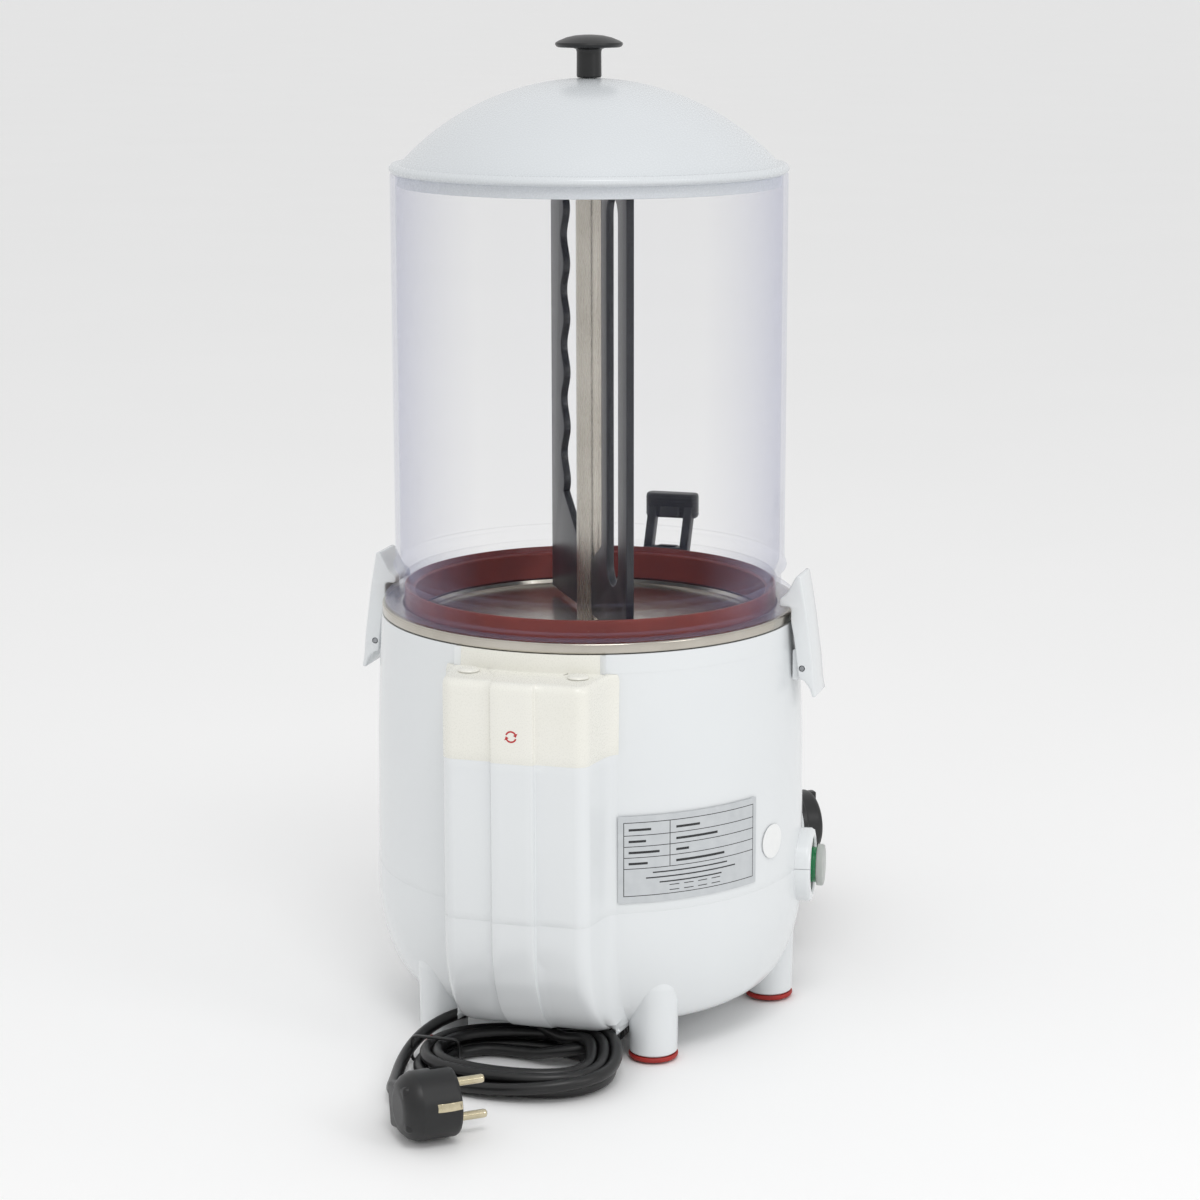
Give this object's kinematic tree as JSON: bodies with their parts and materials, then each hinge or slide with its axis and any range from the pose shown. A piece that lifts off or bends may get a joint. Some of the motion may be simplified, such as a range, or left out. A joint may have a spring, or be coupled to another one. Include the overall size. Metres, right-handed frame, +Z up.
{
  "type": "nacho cheese dispenser",
  "caption": "Countertop hot sauce and drink dispenser: clear bowl with a motor-driven stirrer over a heated steel tank, domed lid, side latches, lever tap and drip tray.",
  "frame": {"origin": "on the standing surface, under the middle of the machine without its mains lead", "axes": "+Z up, -Y to the front where the tap and the drip tray are, +X to the right of someone facing the front"},
  "size_m": [0.2836, 0.5204, 0.5801],
  "materials": {
    "white_plastic": "moulded ABS, semi-gloss, cool white",
    "lid_plastic": "moulded polypropylene, white, fine orange-peel texture",
    "cream_plastic": "moulded ABS, semi-gloss, warm cream white",
    "black_plastic": "moulded nylon, black, satin",
    "clear_plastic": "clear moulded polycarbonate",
    "stainless_steel": "brushed stainless steel",
    "zinc_steel": "zinc-plated steel",
    "brown_silicone": "moulded silicone, brown-red",
    "red_rubber": "moulded silicone, red",
    "grey_silicone": "moulded silicone, grey",
    "green_plastic": "translucent green lens",
    "clear_silicone": "clear silicone splash cap, frosted",
    "label_film": "silver polyester label film",
    "white_paper": "white paper label",
    "black_rubber": "black PVC, satin",
    "nickel": "nickel-plated brass"
  },
  "bodies": {
    "root": {"base_tub": "white_plastic", "upper_shell": "white_plastic", "rear_cover": "cream_plastic", "foot_pad_1": "red_rubber", "foot_pad_2": "red_rubber", "foot_pad_3": "red_rubber", "foot_pad_4": "red_rubber", "foot_pad_5": "red_rubber", "reset_thermostat": "black_plastic", "inner_tank": "stainless_steel", "bowl_gasket": "brown_silicone", "bowl": "clear_plastic", "centre_column": "stainless_steel", "water_jacket": "stainless_steel", "heating_element": "zinc_steel", "gear_motor": "zinc_steel", "chassis": "zinc_steel", "latch_bracket_right": "white_plastic", "latch_bracket_left": "white_plastic", "latch_pin_right": "zinc_steel", "latch_pin_left": "zinc_steel", "tap_body": "black_plastic", "tap_cap": "black_plastic", "tap_pin": "stainless_steel", "tap_gasket": "brown_silicone", "tap_nut": "zinc_steel", "drain_elbow": "grey_silicone", "switch_body": "black_plastic", "thermostat": "zinc_steel", "rating_label": "label_film", "round_sticker": "white_paper", "cord_clamp": "black_rubber", "mains_cord": "black_rubber", "cord_coil": "black_rubber", "cord_tie": "black_rubber", "plug_lead": "black_rubber", "plug_body": "black_rubber", "plug_pin_1": "nickel", "plug_pin_2": "nickel"},
    "lid": {"lid": "lid_plastic", "lid_knob": "black_plastic", "lid_screw": "zinc_steel"},
    "stirrer": {"stirrer_hub": "black_plastic", "loop_paddle": "black_plastic", "wavy_paddle": "black_plastic", "drive_shaft": "zinc_steel"},
    "latch_right": {"latch_right": "white_plastic"},
    "latch_left": {"latch_left": "white_plastic"},
    "filler_plug_left": {"filler_plug_left": "cream_plastic"},
    "filler_plug_right": {"filler_plug_right": "cream_plastic"},
    "reset_cap": {"reset_cap": "white_plastic"},
    "reset_button": {"reset_button": "red_rubber"},
    "tap_handle": {"tap_handle": "black_plastic"},
    "tap_plunger": {"tap_plunger": "brown_silicone", "tap_spring": "stainless_steel"},
    "drip_tray": {"drip_tray": "black_plastic"},
    "drip_grille": {"drip_grille": "stainless_steel"},
    "switch_button": {"switch_button": "green_plastic", "switch_cap": "clear_silicone"},
    "thermostat_knob": {"thermostat_knob": "black_plastic"}
  },
  "joints": [
    {"name": "lid_lift", "type": "slide", "parent": "root", "child": "lid", "axis": [0, 0, 1], "range_m": [0, 0.12]},
    {"name": "stirrer_turn", "type": "hinge", "parent": "root", "child": "stirrer", "pos_m": [0.00068, 0.0522, 0.5], "axis": [0, 0, 1], "continuous": true},
    {"name": "latch_right_swing", "type": "hinge", "parent": "root", "child": "latch_right", "pos_m": [0.13318, 0.0522, 0.2175], "axis": [0, 1, 0], "range_deg": [0, 35]},
    {"name": "latch_left_swing", "type": "hinge", "parent": "root", "child": "latch_left", "pos_m": [-0.13182, 0.0522, 0.2175], "axis": [0, -1, 0], "range_deg": [0, 35]},
    {"name": "filler_plug_left_pull", "type": "slide", "parent": "root", "child": "filler_plug_left", "axis": [0, 0, 1], "range_m": [0, 0.02]},
    {"name": "filler_plug_right_pull", "type": "slide", "parent": "root", "child": "filler_plug_right", "axis": [0, 0, 1], "range_m": [0, 0.02]},
    {"name": "reset_cap_turn", "type": "hinge", "parent": "root", "child": "reset_cap", "pos_m": [0.00068, 0.2022, 0.1863], "axis": [0, 1, 0], "range_deg": [0, 90]},
    {"name": "reset_button_press", "type": "slide", "parent": "root", "child": "reset_button", "axis": [0, -1, 0], "range_m": [0, 0.002], "stiffness_N_per_m": 300},
    {"name": "tap_handle_pull", "type": "hinge", "parent": "root", "child": "tap_handle", "pos_m": [0.00068, -0.1178, 0.236], "axis": [1, 0, 0], "range_deg": [0, 25], "stiffness_Nm_per_rad": 0.2, "springref_deg": -22.92},
    {"name": "tap_plunger_lift", "type": "slide", "parent": "root", "child": "tap_plunger", "axis": [0, 0, 1], "range_m": [0, 0.0066], "deforming": ["tap_spring"]},
    {"name": "drip_tray_slide", "type": "slide", "parent": "root", "child": "drip_tray", "axis": [0, -1, 0], "range_m": [0, 0.06]},
    {"name": "drip_grille_lift", "type": "slide", "parent": "drip_tray", "child": "drip_grille", "axis": [0, 0, 1], "range_m": [0, 0.05]},
    {"name": "switch_press", "type": "slide", "parent": "root", "child": "switch_button", "axis": [0.9925, 0.1219, 0], "range_m": [0, 0.0025], "stiffness_N_per_m": 400},
    {"name": "thermostat_turn", "type": "hinge", "parent": "root", "child": "thermostat_knob", "pos_m": [-0.10349, -0.02919, 0.095], "axis": [-0.788, -0.6157, 0], "range_deg": [0, 270]}
  ],
  "couplings": [
    {"joint": "tap_plunger_lift", "follows": "tap_handle_pull", "m_per_rad": 0.015}
  ]
}
